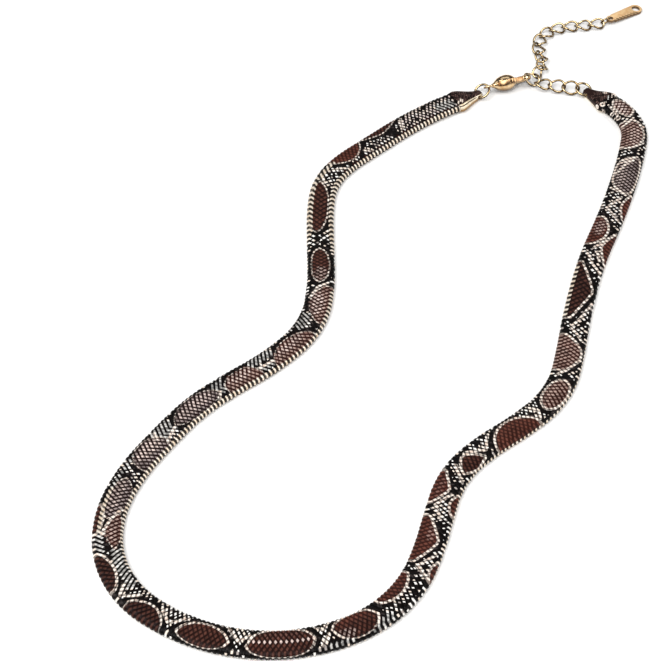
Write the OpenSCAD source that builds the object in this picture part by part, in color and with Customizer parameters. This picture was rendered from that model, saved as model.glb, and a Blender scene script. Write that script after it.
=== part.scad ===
// A flat snake-chain choker with a lobster clasp, an extender chain and a drop tag.
// It lies on the plane z = 0, and the middle of its bounding box is over the origin.

/* [Strap] */
// Width of the flattened snake-chain band
strap_w = 6.0; // [5.5:0.1:6.5]
// Thickness of the band
strap_t = 1.9; // [1.7:0.1:2.1]
// Spacing of the sections that carry the band round its bends
strap_step = 2.5; // [2:0.5:4]

/* [End caps] */
// Length of each tapered cap
cap_len = 7.4; // [7:0.1:7.8]
// Width of the cap's mouth, where the strap enters
mouth_w = 6.8; // [6.6:0.1:7.0]
// Thickness of the cap's mouth
mouth_t = 2.5; // [2.3:0.1:2.6]
// Width of the cap's nose
nose_w = 2.3; // [2.1:0.1:2.4]
// Thickness of the cap at its nose
nose_t = 1.8; // [1.7:0.1:2.0]
// Diameter of the cross hole in the nose
nose_hole_d = 1.2; // [1.15:0.05:1.25]

/* [Jump rings] */
// Outer diameter of the two big jump rings
ring_d = 4.1; // [3.9:0.1:4.2]
// Wire of the big jump rings
ring_wire = 0.55; // [0.5:0.05:0.6]
// Outer diameter of the small ring at the tag
tag_ring_d = 2.6; // [2.6:0.1:3.0]
// Wire of the small ring
tag_ring_wire = 0.4; // [0.4:0.05:0.5]

/* [Extender links] */
// Outer length of a link
link_len = 4.4; // [4.3:0.05:4.5]
// Outer width of a link
link_w = 3.5; // [3.4:0.1:3.6]
// Wire of a link
link_wire = 0.52; // [0.45:0.01:0.55]
// Twist of each end of a link against its middle, in degrees
link_twist = 40; // [38:1:43]

/* [Clasp] */
// Length from the middle of the tail eye to the outer end of the hook
clasp_len = 10.8; // [10.4:0.1:11]
// Thickness of the clasp's bulb
bulb_t = 3.8; // [3.6:0.1:4.0]
// Thickness of the lever
lever_t = 1.1; // [1.0:0.05:1.2]
// Diameter of the rivet that the lever turns on
pin_d = 0.8; // [0.7:0.05:0.9]
// Running clearance round the rivet, on the radius
pin_clearance = 0.05; // [0.03:0.01:0.08]

/* [Drop tag] */
// Length of the tag over its round ends
tag_len = 10.6; // [10:0.1:11]
// Thickness of the tag
tag_t = 0.7; // [0.6:0.05:0.8]
// Width of the tag's big round end
tag_end_w = 3.1; // [3.0:0.1:3.3]
// Diameter of the charm hole in the big end
charm_hole_d = 2.0; // [1.8:0.1:2.1]
// Number of slanted grooves along one edge
groove_count = 7; // [5:1:8]

/* [Hidden] */
gap = 0.05;             // clear space between pieces that touch in the real thing
link_count = 14;

gold = "#d9a766";
pale_gold = "#e6c48c";
snake_brown = "#5c4038";
cap_brown = "#3a2823";

// How the strap lies: columns are the distance along its middle line and the direction there.
strap_start = [13.35, 56.6];
strap_bends = [
    [0, -152], [8, -146], [18, -138], [29, -138], [35, -128], [45, -96], [54, -89], [66, -89],
    [76, -97], [90, -132], [102, -144], [110, -140], [120, -127], [130, -124], [140, -111],
    [150, -90], [170, -37], [190, -7], [210, 25], [230, 69], [238, 75], [246, 73], [258, 44],
    [266, 36], [275, 43], [289, 75], [298, 78], [312, 74], [328, 67], [344, 71], [354, 74],
    [361, 79], [367, 110], [374, 138]];
strap_len = strap_bends[len(strap_bends) - 1][0];
strap_steps = round(strap_len/strap_step);
strap_ds = strap_len/strap_steps;
strap_sides = 16;

// Directions and vectors
function link_name(k) = str("link_", k < 10 ? "0" : "", k);
function ahead(a) = [cos(a), sin(a)];
function spot(p, z) = [p.x, p.y, z];
function heading(turn) = [
    cos(turn[0])*cos(turn[1]), sin(turn[0])*cos(turn[1]), sin(turn[1])];
function unit(v) = v/norm(v);
function power(c, p) = sign(c)*pow(abs(c), p);
function ease(u) = u <= 0 ? 0 : u >= 1 ? 1 : u*u*(3 - 2*u);

// The middle line of the strap, from the left cap to the right cap
function strap_direction(s) = lookup(s, strap_bends);
strap_line = [
    for (i = 0, p = strap_start; i <= strap_steps;
         p = p + strap_ds*ahead(strap_direction((i + 0.5)*strap_ds)), i = i + 1) p];
strap_end = strap_line[strap_steps];

// A flattened oval, w wide and t high, that is pressed flat underneath
press = 0.08;
function band_section(w, t) = [
    for (k = [0:strap_sides - 1]) let (a = 360*k/strap_sides)
    [w/2*power(cos(a), 0.55), max(0, (t + press)/2*(1 + power(sin(a), 0.75)) - press)]];

// A plan section turned to stand across the direction a, at the plan point p
function stand(section, p, a) = [
    for (q = section) [p.x + q.x*sin(a), p.y - q.x*cos(a), q.y]];

// A closed solid through a row of sections, with flat ends
module loft(rings) {
    n = len(rings[0]);
    last = len(rings) - 1;
    walls = [
        for (i = [0:last - 1], k = [0:n - 1])
        [i*n + k, i*n + (k + 1)%n, (i + 1)*n + (k + 1)%n, (i + 1)*n + k]];
    polyhedron(
        [for (ring = rings) each ring],
        concat([[for (k = [n - 1:-1:0]) k]], walls, [[for (k = [0:n - 1]) last*n + k]]),
        convexity = 10);
}

// A closed loop through a ring of sections
module loop_loft(rings) {
    n = len(rings[0]);
    m = len(rings);
    walls = [
        for (i = [0:m - 1], k = [0:n - 1]) let (j = (i + 1)%m)
        [i*n + k, i*n + (k + 1)%n, j*n + (k + 1)%n, j*n + k]];
    polyhedron([for (ring = rings) each ring], walls, convexity = 10);
}

// Strap: it rises a little at each end, to the middle of the thicker cap
lift_len = 14;
function strap_lift(s) = (mouth_t - strap_t)/2*ease(1 - min(s, strap_len - s)/lift_len);

module snake_strap() {
    section = band_section(strap_w, strap_t);
    color(snake_brown)
        loft([for (i = [0:strap_steps])
            [for (q = stand(section, strap_line[i], strap_direction(i*strap_ds)))
                q + [0, 0, strap_lift(i*strap_ds)]]]);
}

// End cap: the strap's section drawn in to a blunt nose, with a cross hole for the jump ring
cap_steps = 14;
nose_hole_back = 1.25;
nose_hole_z = nose_t/2;
cap_left_direction = 28;
cap_right_direction = 138;
cap_left_start = strap_start + gap*ahead(cap_left_direction);
cap_right_start = strap_end + gap*ahead(cap_right_direction);

function cap_half_end(u) = sqrt(max(0, 1 - pow(max(0, (u - 0.88)/0.12), 2)));
function cap_taper(u) = let (v = max(0, min(1, (u - 0.06)/0.78))) 0.45*v + 0.55*ease(v);
function cap_w(u) = (mouth_w + (nose_w - mouth_w)*cap_taper(u))*(0.35 + 0.65*cap_half_end(u));
function cap_t(u) = (mouth_t + (nose_t - mouth_t)*ease((u - 0.2)/0.6))*(0.45 + 0.55*cap_half_end(u));
function cap_lift(u) = (nose_t - cap_t(u))/2*(u > 0.88 ? 1 : 0);

module end_cap(start, a) {
    color(cap_brown)
        difference() {
            loft([for (i = [0:cap_steps]) let (u = i/cap_steps)
                [for (q = stand(band_section(cap_w(u), cap_t(u)), start + u*cap_len*ahead(a), a))
                    q + [0, 0, cap_lift(u)]]]);
            translate(spot(start + (cap_len - nose_hole_back)*ahead(a), nose_hole_z))
                rotate([90, 0, a])
                    cylinder(d = nose_hole_d, h = strap_w, center = true, $fn = 32);
        }
}

// A plain round ring lying in the XY plane
module wire_ring(outer_d, wire_d) {
    color(pale_gold)
        rotate_extrude($fn = 48)
            translate([(outer_d - wire_d)/2, 0])
                circle(d = wire_d, $fn = 16);
}

// The jump rings pass sideways through the noses and lean up from them
ring_left_lean = 30;
ring_right_lean = 14;
ring_r = (ring_d - ring_wire)/2;
ring_sag = ring_r - sqrt(pow(ring_r, 2) - pow(nose_w/2, 2));
ring_reach = ring_r - ring_sag/2;

function nose_hole(start, a) = spot(start + (cap_len - nose_hole_back)*ahead(a), nose_hole_z);
function ring_middle(start, a, lean) = nose_hole(start, a) + ring_reach*heading([a, lean]);

module jump_ring(start, a, lean) {
    translate(ring_middle(start, a, lean))
        rotate([0, -lean, a])
            wire_ring(ring_d, ring_wire);
}

// A twisted oval link along X: its ends are turned against each other, so neighbours interlock
link_sides = 16;
link_wire_sides = 6;
link_half_l = (link_len - link_wire)/2;
link_half_w = (link_w - link_wire)/2;
link_slack = 0.08;
link_pitch = link_len - 2*link_wire - link_slack;

function link_line(a) = let (turn = link_twist*cos(a))
    [link_half_l*cos(a), link_half_w*sin(a)*cos(turn), link_half_w*sin(a)*sin(turn)];
function link_ring(a) =
    let (along = unit(link_line(a + 2) - link_line(a - 2)),
         turn = link_twist*cos(a),
         side = unit(cross(along, [0, -sin(turn), cos(turn)])),
         up = cross(side, along))
    [for (k = [0:link_wire_sides - 1]) let (b = 360*k/link_wire_sides)
        link_line(a) + link_wire/2*(cos(b)*side + sin(b)*up)];

module link() {
    color(pale_gold)
        loop_loft([for (i = [0:link_sides - 1]) link_ring(360*i/link_sides)]);
}

// Clasp, along X from its tail eye to its hook, flat in the XY plane, lever on the +Y side
eye_r = 1.0;
eye_wire = 0.5;
hook_r = 1.55;
hook_half_w = 0.42;
hook_half_t = 0.65;
hook_x = clasp_len - hook_r - hook_half_w;
pin_at = [4.2, 0.45];
lever_slot = lever_t + 2*0.06;

// Columns are the place along X, the place across, the half width and the half thickness.
bulb_rows = [
    [0.75, 0, 0.42, 0.42],
    [1.20, 0, 0.62, 0.58],
    [1.65, 0, 0.96, 0.90],
    [2.30, 0, 1.50, 1.38],
    [3.15, -0.02, 1.93, 1.72],
    [4.20, -0.08, 2.10, bulb_t/2],
    [5.00, -0.20, 2.02, bulb_t/2 - 0.05],
    [5.70, -0.46, 1.70, 1.60],
    [6.20, -0.80, 1.27, 1.28],
    [6.65, -1.12, 0.86, 1.00],
    [7.15, -1.39, 0.60, 0.80],
    [7.90, -1.53, 0.46, 0.70]];
hook_turns = [for (a = [-90:15:105]) a];
hook_rows = [for (a = hook_turns) [hook_x + hook_r*cos(a), hook_r*sin(a), hook_half_w, hook_half_t]];
claw_rows = concat(bulb_rows, hook_rows);
claw_sides = 16;

function row_point(i) = [claw_rows[i][0], claw_rows[i][1]];
function row_direction(i) =
    let (before = row_point(max(0, i - 1)), after = row_point(min(len(claw_rows) - 1, i + 1)))
    atan2(after.y - before.y, after.x - before.x);
function claw_ring(i) = let (a = row_direction(i), p = row_point(i), row = claw_rows[i])
    [for (k = [0:claw_sides - 1]) let (b = 360*k/claw_sides)
        [p.x + row[2]*cos(b)*sin(a), p.y - row[2]*cos(b)*cos(a), row[3]*sin(b)]];

module clasp_body_flat() {
    color(gold)
        difference() {
            loft([for (i = [0:len(claw_rows) - 1]) claw_ring(i)]);
            translate([pin_at.x - 2.25, -0.55, -lever_slot/2])
                cube([5.55, 4, lever_slot]);
            translate(pin_at)
                cylinder(d = pin_d + 0.02, h = 2*bulb_t, center = true, $fn = 32);
        }
    color(gold)
        rotate_extrude($fn = 32)
            translate([eye_r, 0])
                circle(d = eye_wire, $fn = 16);
}

module clasp_pin_flat() {
    color(pale_gold)
        translate(pin_at)
            cylinder(d = pin_d, h = bulb_t - 0.35, center = true, $fn = 32);
}

// The lever turns on the rivet. Its thumb tab stands out of the bulb, and its tip meets the hook.
lever_hub_r = 0.85;
lever_tip = [hook_x + hook_r*cos(105) - 0.12, hook_r*sin(105)];
module clasp_lever_flat() {
    color(gold)
        translate([0, 0, -lever_t/2])
            difference() {
                linear_extrude(lever_t) {
                    translate(pin_at)
                        circle(r = lever_hub_r, $fn = 48);
                    polygon([
                        pin_at + [-0.2, -lever_hub_r + 0.1], pin_at + [1.6, 0.05],
                        lever_tip + [0, -0.42], lever_tip + [-0.12, 0.42],
                        pin_at + [2.0, 1.45], pin_at + [1.9, 2.1], pin_at + [0.9, 2.25],
                        pin_at + [0.45, 1.62], pin_at + [-0.3, 1.5], pin_at + [-0.9, 1.28],
                        pin_at + [-1.6, 0.85], pin_at + [-2.1, 0.35], pin_at + [-2.0, -0.2]]);
                }
                translate([pin_at.x, pin_at.y, lever_t/2])
                    cylinder(d = pin_d + 2*pin_clearance, h = 2*lever_t, center = true, $fn = 48);
            }
}

// Where the clasp lies: the middle of its tail eye, the way it points, and how it is rolled
clasp_at = [21.62, 60.9, 2.4];
clasp_direction = 22;
clasp_pitch = 3;
clasp_roll = 48;
module lay_clasp() {
    translate(clasp_at)
        rotate([0, clasp_pitch, clasp_direction])
            rotate([180 - clasp_roll, 0, 0])
                children();
}

module clasp_body() { lay_clasp() clasp_body_flat(); }
module clasp_pin() { lay_clasp() clasp_pin_flat(); }
module clasp_lever() { lay_clasp() clasp_lever_flat(); }

// The links lie in two runs, each link starting where the one before it ends.
// The bridge runs from the clasp's hook to the right jump ring, and the tail runs to the tag.
// Columns are the direction, the slope and the roll.
bridge_start = [34.5, 63.0, 1.4];
bridge_turns = [[-13, 1, 0], [-13, 1, 20], [-13, 2, 40]];
tail_start = [33.75, 66.6, 1.8];
tail_turns = [
    [58, -2, 60], [82, -6, 38], [98, -5, 22], [92, -3, 10], [69, -1, 3],
    [44, 0, 0], [22, 0, 0], [9, 0, 0], [5, 0, 0], [14, 0, 0]];

// The link on the hook: its place in plan, its height, then the same three columns
hook_link = [32.05, 64.6, 1.65, 138, 9, -12];

function walk(start, turns) = [
    for (i = 0, p = start; i < len(turns);
         p = i + 1 < len(turns)
             ? p + link_pitch/2*(heading(turns[i]) + heading(turns[i + 1])) : p,
         i = i + 1) concat(p, turns[i])];
bridge_rows = walk(bridge_start, bridge_turns);
link_rows = concat(
    [bridge_rows[2], bridge_rows[1], bridge_rows[0], hook_link], walk(tail_start, tail_turns));

module placed_link(k) {
    row = link_rows[k - 1];
    translate([row[0], row[1], row[2]])
        rotate([row[5], -row[4], row[3]])
            link();
}

// Small ring between the last link and the tag
tag_ring_direction = 25;
tag_ring_tilt = 110;
tag_ring_r = (tag_ring_d - tag_ring_wire)/2;
tag_ring_z = tag_ring_r*sin(tag_ring_tilt) + tag_ring_wire/2 + 0.02;
last_link = link_rows[link_count - 1];
last_link_reach = link_half_l - link_wire/2 - tag_ring_wire/2 - 2*gap;
tag_ring_plan = [last_link.x, last_link.y] + last_link_reach*ahead(last_link[3])
    + tag_ring_r*ahead(tag_ring_direction);

module tag_ring() {
    translate(spot(tag_ring_plan, tag_ring_z))
        rotate([tag_ring_tilt, 0, tag_ring_direction])
            wire_ring(tag_ring_d, tag_ring_wire);
}

// Drop tag along X from its eye, flat in the XY plane
tag_eye_r = 1.0;
tag_eye_hole_d = 1.3;
tag_end_x = tag_len - tag_eye_r - tag_end_w/2;
groove_w = 0.28;
groove_pitch = 0.9;
groove_depth = 0.22;
tag_direction = 34;
tag_slope = -5;
tag_plan = tag_ring_plan + tag_ring_r*ahead(tag_ring_direction)
    + (tag_eye_hole_d/2 - tag_ring_wire/2 - 3*gap)*ahead(tag_direction);
tag_z = -(tag_len - tag_eye_r)*sin(tag_slope) + 0.02;

module drop_tag_flat() {
    color(gold)
        difference() {
            linear_extrude(tag_t) {
                circle(r = tag_eye_r, $fn = 32);
                translate([tag_end_x, 0])
                    circle(d = tag_end_w, $fn = 64);
                polygon([
                    [0.3, -tag_eye_r + 0.05], [1.3, -1.15], [tag_end_x, -tag_end_w/2],
                    [tag_end_x, tag_end_w/2], [1.3, 1.15], [0.3, tag_eye_r - 0.05]]);
            }
            translate([0, 0, tag_t/2]) {
                cylinder(d = tag_eye_hole_d, h = 2*tag_t, center = true, $fn = 32);
                translate([tag_end_x, 0])
                    cylinder(d = charm_hole_d, h = 2*tag_t, center = true, $fn = 48);
            }
            for (k = [0:groove_count - 1])
                translate([1.7 + k*groove_pitch, -1.3, tag_t - groove_depth])
                    rotate([0, 0, 140])
                        translate([-0.8, -groove_w/2])
                            cube([1.6, groove_w, 1]);
        }
}

module drop_tag() {
    translate(spot(tag_plan, tag_z))
        rotate([0, -tag_slope, tag_direction])
            drop_tag_flat();
}

snake_strap();
end_cap(cap_left_start, cap_left_direction);  // end_cap_left
end_cap(cap_right_start, cap_right_direction);  // end_cap_right
jump_ring(cap_left_start, cap_left_direction, ring_left_lean);  // jump_ring_left
jump_ring(cap_right_start, cap_right_direction, ring_right_lean);  // jump_ring_right
clasp_body();
clasp_pin();
clasp_lever();
tag_ring();
drop_tag();
for (k = [1:link_count])
    placed_link(k);
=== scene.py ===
import math
import bmesh
import bpy
import numpy as np
from mathutils import Matrix, Vector


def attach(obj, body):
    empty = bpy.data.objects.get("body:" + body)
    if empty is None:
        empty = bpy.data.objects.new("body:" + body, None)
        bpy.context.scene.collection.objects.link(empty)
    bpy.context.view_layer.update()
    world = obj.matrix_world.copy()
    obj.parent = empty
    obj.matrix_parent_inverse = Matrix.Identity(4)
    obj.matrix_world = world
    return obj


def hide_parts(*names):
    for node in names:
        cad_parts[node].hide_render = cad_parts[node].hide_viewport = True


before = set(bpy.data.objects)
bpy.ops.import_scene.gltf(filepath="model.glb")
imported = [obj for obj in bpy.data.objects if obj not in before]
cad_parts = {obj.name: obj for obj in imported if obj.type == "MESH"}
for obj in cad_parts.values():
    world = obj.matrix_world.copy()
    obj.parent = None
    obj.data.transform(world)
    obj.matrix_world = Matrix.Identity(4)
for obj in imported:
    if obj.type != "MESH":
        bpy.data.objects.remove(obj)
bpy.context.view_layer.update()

scene = bpy.context.scene
MM = 0.001


def assign(item, **settings):
    for key, value in settings.items():
        setattr(item, key, value)
    return item


def add_object(name, data, **settings):
    made = assign(bpy.data.objects.new(name, data), **settings)
    scene.collection.objects.link(made)
    return made


# Camera, at the photograph's angle
CAMERA_TILT = math.radians(48.6)
CAMERA_AWAY = 0.39396
aim = Vector((-16.68, -13.83, 0.95)) * MM
back = Vector((0, -math.cos(CAMERA_TILT), math.sin(CAMERA_TILT)))
camera_data = assign(
    bpy.data.cameras.new("camera"), lens=103.04, sensor_width=36, clip_start=0.01, clip_end=50)
scene.camera = add_object(
    "camera", camera_data, location=aim + back * CAMERA_AWAY,
    rotation_mode="QUATERNION", rotation_quaternion=(-back).to_track_quat("-Z", "Y"))


def tone(r, g, b):
    """A colour's light values from its screen values of 0 to 255."""
    return tuple((v / 255 / 12.92) if v < 11 else ((v / 255 + 0.055) / 1.055) ** 2.4 for v in (r, g, b))


class Graph:
    """A material's node tree, with short calls for its nodes."""

    def __init__(self, name):
        self.material = bpy.data.materials.new(name)
        self.material.use_nodes = True
        self.nodes = self.material.node_tree.nodes
        self.links = self.material.node_tree.links
        self.shader = self.nodes["Principled BSDF"]

    def put(self, socket, value):
        """Links another node's socket, or sets a number or a colour."""
        if isinstance(value, bpy.types.NodeSocket):
            self.links.new(value, socket)
        elif isinstance(value, tuple):
            socket.default_value = (*value, 1.0)
        elif value is not None:
            socket.default_value = value

    def fill(self, node, **values):
        """Links or sets a node's inputs by name, and gives its outputs."""
        for name, value in values.items():
            self.put(node.inputs[name.replace("_", " ")], value)
        return node.outputs

    def node(self, kind, **settings):
        return assign(self.nodes.new(kind), **settings)

    def math(self, operation, a, b=None):
        made = self.node("ShaderNodeMath", operation=operation)
        for socket, value in zip(made.inputs, (a, b)):
            self.put(socket, value)
        return made.outputs[0]

    def plus(self, a, b):
        return self.math("ADD", a, b)

    def times(self, a, b):
        return self.math("MULTIPLY", a, b)

    def span(self, value, low, high, to_low=0, to_high=1):
        """The value carried from one range to another with a soft start and end."""
        made = self.node("ShaderNodeMapRange", interpolation_type="SMOOTHSTEP")
        for socket, number in zip(made.inputs, (value, low, high, to_low, to_high)):
            self.put(socket, number)
        return made.outputs[0]

    def mix(self, factor, a, b, kind="MIX"):
        made = self.node("ShaderNodeMix", data_type="RGBA", blend_type=kind)
        self.fill(made, Factor=factor)
        self.put(made.inputs[6], a)
        self.put(made.inputs[7], b)
        return made.outputs[2]

    def noise(self, coordinates, scale, detail):
        made = self.node("ShaderNodeTexNoise")
        return self.fill(made, Vector=coordinates, Scale=scale, Detail=detail, Roughness=0.55)["Fac"]

    def coordinates(self, kind):
        return self.node("ShaderNodeTexCoord").outputs[kind]

    def parts(self, vector):
        return self.fill(self.node("ShaderNodeSeparateXYZ"), Vector=vector)

    def attribute(self, name):
        return self.node("ShaderNodeAttribute", attribute_name=name).outputs

    def bump(self, height, distance, strength):
        made = self.node("ShaderNodeBump")
        return self.fill(made, Height=height, Distance=distance, Strength=strength)["Normal"]

    def set(self, **values):
        self.fill(self.shader, **values)


def metal(name, light, deep, side, low, high, rough=0.16, metallic=1):
    """A polished plated metal with clouds, fine scratches and painted shade: sides that darken from high to
    low.
    """
    g = Graph(name)
    clouds = g.noise(g.coordinates("Object"), 900, 3)
    scratches = g.noise(g.coordinates("Object"), 9000, 2)
    colour = g.mix(g.span(clouds, 0.35, 0.7), tone(*light), tone(*deep))
    # Painted shade: the colour turns to the side colour as the surface faces from up to sideways and down.
    upward = g.parts(g.coordinates("Normal"))[2]
    colour = g.mix(g.span(upward, low, high, 1, 0), colour, tone(*side))
    g.set(Base_Color=colour, Metallic=metallic)
    g.set(Roughness=g.plus(g.times(clouds, 0.1), rough - 0.03))
    g.set(Normal=g.bump(scratches, 0.00001, 0.3))
    return g.material


# Each metal's third colour is the painted shade that its sides take as they turn away from up.
gold = metal("gold", (234, 206, 164), (200, 162, 114), (96, 70, 42), -0.5, 0.25)
pale_gold = metal("pale_gold", (228, 204, 162), (192, 160, 112), (88, 68, 40), 0.3, 0.86)
# The lever's gold is a darker copy of the clasp's gold: painted shade for the lever in the clasp's slot.
shaded_lever_gold = metal("shaded_lever_gold", (192, 156, 116), (128, 92, 60), (110, 72, 42), 0, 0.4, 0.26)
tag_gold = metal("tag_gold", (246, 208, 156), (230, 182, 126), (110, 82, 50), 0.1, 0.6, 0.3, 0.35)
# The tag's grooves take a dark gold: painted shade in the grooves.
groove_shade_gold = metal("groove_shade_gold", (96, 70, 42), (70, 48, 28), (60, 44, 28), 0.1, 0.6, 0.4, 0.35)


def make_object(name, points, faces, material):
    mesh = bpy.data.meshes.new(name)
    mesh.from_pydata((np.asarray(points) * MM).tolist(), [], faces)
    mesh.validate()
    mesh.update()
    mesh.shade_smooth()
    mesh.materials.append(material)
    return add_object(name, mesh)


def arc(x, y, r, start, end, count):
    turns = np.radians(np.linspace(start, end, count))
    return [(x + r * math.cos(turn), y + r * math.sin(turn)) for turn in turns]


def around(sides):
    """Cosines and sines at even steps round a circle."""
    turns = [2 * math.pi * k / sides for k in range(sides)]
    return [(math.cos(turn), math.sin(turn)) for turn in turns]


def tube_faces(rows, sides, closed_rows=False):
    """Quads between neighbouring rings of points, and end faces on an open tube."""
    faces = []
    for i in range(rows if closed_rows else rows - 1):
        j = (i + 1) % rows
        for k in range(sides):
            m = (k + 1) % sides
            faces.append((i * sides + k, i * sides + m, j * sides + m, j * sides + k))
    if not closed_rows:
        faces.append(tuple(range(sides - 1, -1, -1)))
        faces.append(tuple(range((rows - 1) * sides, rows * sides)))
    return faces


def wire(path, radius, sides, closed=True, ups=None):
    """Points and faces of a round wire along a path. ups holds a rough up direction for each point."""
    path = np.asarray(path, float)
    n = len(path)
    points = []
    for i in range(n):
        before = path[(i - 1) % n] if closed or i > 0 else path[i]
        after = path[(i + 1) % n] if closed or i < n - 1 else path[i]
        along = after - before
        along /= np.linalg.norm(along)
        up = np.asarray(ups[i] if ups is not None else (0, 0, 1), float)
        side = np.cross(along, up)
        side /= np.linalg.norm(side)
        up = np.cross(side, along)
        points += [path[i] + radius * (c * side + d * up) for c, d in around(sides)]
    return points, tube_faces(n, sides, closed)


def sharpen(made, degrees):
    """Shades smooth all but the edges that turn by more degrees."""
    made.data.shade_smooth()
    made.data.set_sharp_from_angle(angle=math.radians(degrees))


def modify(made, kind, **settings):
    """Puts what a modifier makes into an object's mesh."""
    assign(made.modifiers.new("change", kind), **settings)
    bpy.context.view_layer.update()
    depsgraph = bpy.context.evaluated_depsgraph_get()
    mesh = bpy.data.meshes.new_from_object(
        made.evaluated_get(depsgraph), preserve_all_data_layers=True, depsgraph=depsgraph)
    made.modifiers.clear()
    made.data = mesh


def cut(made, *tools):
    for tool in tools:
        modify(made, "BOOLEAN", operation="DIFFERENCE", solver="EXACT", object=tool)
        bpy.data.objects.remove(tool)


def bevel(made, width, segments):
    """Rounds the edges that turn more than 40 degrees."""
    modify(made, "BEVEL", width=width * MM, segments=segments, limit_method="ANGLE",
           angle_limit=math.radians(40), use_clamp_overlap=True)


def put(made, where):
    """Moves a mesh's points by a matrix in millimetres. Its object stays at the origin."""
    shift = where.copy()
    shift.translation = shift.translation * MM
    made.data.transform(shift)
    made.data.update()


def place(spot, x, y, z):
    """A matrix that turns about X, Y and then Z, in degrees, and then moves."""
    turn = (Matrix.Rotation(math.radians(z), 4, "Z") @ Matrix.Rotation(math.radians(y), 4, "Y")
            @ Matrix.Rotation(math.radians(x), 4, "X"))
    return Matrix.Translation(Vector(spot)) @ turn


def box_tool(low, high):
    points = [(x, y, z) for x in (low[0], high[0]) for y in (low[1], high[1]) for z in (low[2], high[2])]
    faces = [(0, 1, 3, 2), (4, 6, 7, 5), (0, 4, 5, 1), (2, 3, 7, 6), (0, 2, 6, 4), (1, 5, 7, 3)]
    return make_object("tool", points, faces, gold)


def rod_tool(radius, reach):
    sides = 40
    points = [(radius * c, radius * d, z) for z in (-reach, reach) for c, d in around(sides)]
    return make_object("tool", points, tube_faces(2, sides), gold)


def finish_piece(made, node, where=None, body="necklace"):
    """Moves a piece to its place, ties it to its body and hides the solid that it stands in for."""
    if where is not None:
        put(made, where)
    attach(made, body)
    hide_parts(node)


# The band's middle line: columns are the distance and the direction there, as in the solids.
STRAP_START = np.array([13.35, 56.6])
STRAP_BENDS = np.array([
    [0, -152], [8, -146], [18, -138], [29, -138], [35, -128], [45, -96], [54, -89], [66, -89],
    [76, -97], [90, -132], [102, -144], [110, -140], [120, -127], [130, -124], [140, -111],
    [150, -90], [170, -37], [190, -7], [210, 25], [230, 69], [238, 75], [246, 73], [258, 44],
    [266, 36], [275, 43], [289, 75], [298, 78], [312, 74], [328, 67], [344, 71], [354, 74],
    [361, 79], [367, 110], [374, 138]], float)
STRAP_LEN = 374.0
STRAP_STEPS = 150
STRAP_DS = STRAP_LEN / STRAP_STEPS


def strap_direction(s):
    return np.interp(s, STRAP_BENDS[:, 0], STRAP_BENDS[:, 1])


def ahead(degrees):
    """Unit steps in directions on the table."""
    return np.stack([np.cos(np.radians(degrees)), np.sin(np.radians(degrees))], -1)


strap_line = STRAP_START + np.vstack([
    [0, 0], np.cumsum(STRAP_DS * ahead(strap_direction((np.arange(STRAP_STEPS) + 0.5) * STRAP_DS)), axis=0)])


def on_line(s):
    """Points and directions of the middle line, straight on beyond its ends."""
    s = np.asarray(s, float)
    inside = np.clip(s, 0, STRAP_LEN)
    i = np.minimum((inside / STRAP_DS).astype(int), STRAP_STEPS - 1)
    u = (inside / STRAP_DS - i)[:, None]
    a = ahead(strap_direction(i * STRAP_DS)) * STRAP_DS
    b = ahead(strap_direction((i + 1) * STRAP_DS)) * STRAP_DS
    p, q = strap_line[i], strap_line[i + 1]
    spot = ((2 * u**3 - 3 * u**2 + 1) * p + (u**3 - 2 * u**2 + u) * a
            + (3 * u**2 - 2 * u**3) * q + (u**3 - u**2) * b)
    turn = strap_direction(inside)
    return spot + (s - inside)[:, None] * ahead(turn), turn


def ease(u):
    u = np.clip(u, 0, 1)
    return u * u * (3 - 2 * u)


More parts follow.
